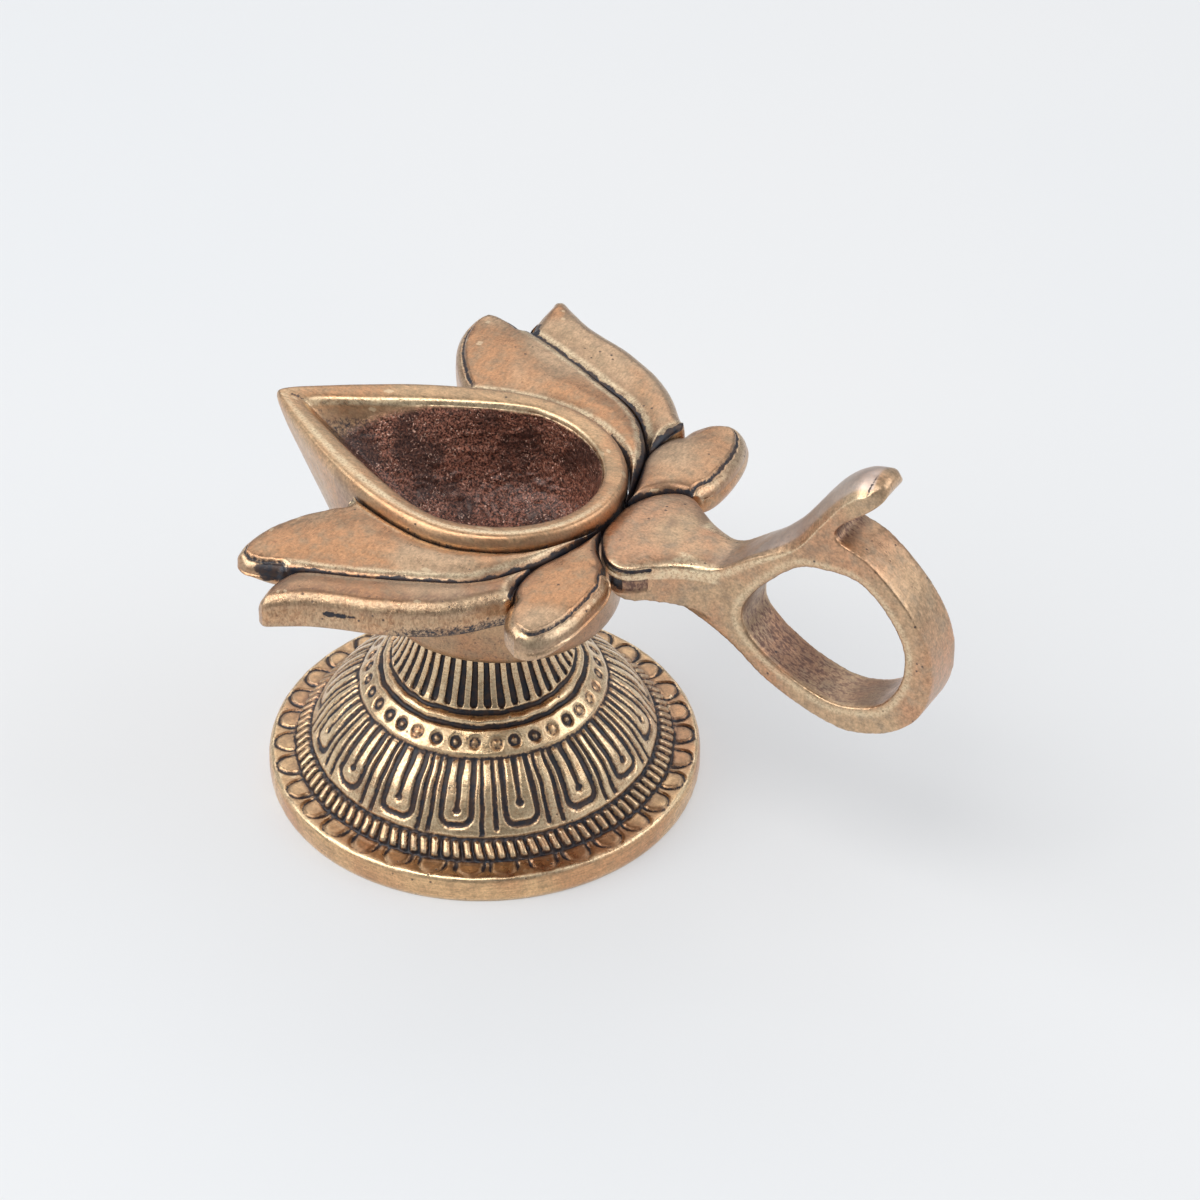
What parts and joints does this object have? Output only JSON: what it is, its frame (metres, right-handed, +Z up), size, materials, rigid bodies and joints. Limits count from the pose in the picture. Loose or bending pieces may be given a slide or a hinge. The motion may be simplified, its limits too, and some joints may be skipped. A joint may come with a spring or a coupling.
{
  "type": "lotus oil lamp",
  "caption": "Small cast brass oil lamp: drop-shaped oil cup with a wick spout and lotus petals, on an engraved round foot, with a finger-ring handle and thumb rest.",
  "frame": {"origin": "centre of the whole lamp's box, on the surface that its foot stands on", "axes": "+X from the wick spout towards the finger-ring handle, +Z up"},
  "size_m": [0.1282, 0.097, 0.0906],
  "materials": {
    "engraved_brass": "antique brass, engraved, with dark patina in the grooves",
    "cup_brass": "antique brass, polished rim, rough sand-cast brown inside",
    "petal_brass": "antique brass, satin, coppery tint, dark patina along the seams",
    "handle_brass": "antique brass, brushed, greyer than the petals",
    "screw_steel": "plain steel"
  },
  "bodies": {
    "root": {"pedestal": "engraved_brass", "lotus_bowl": "cup_brass", "inner_petal_front": "petal_brass", "inner_petal_back": "petal_brass", "outer_petal_front": "petal_brass", "outer_petal_back": "petal_brass", "small_petal_front": "petal_brass", "small_petal_back": "petal_brass", "handle": "handle_brass", "fixing_screw": "screw_steel", "washer": "screw_steel"}
  },
  "joints": []
}
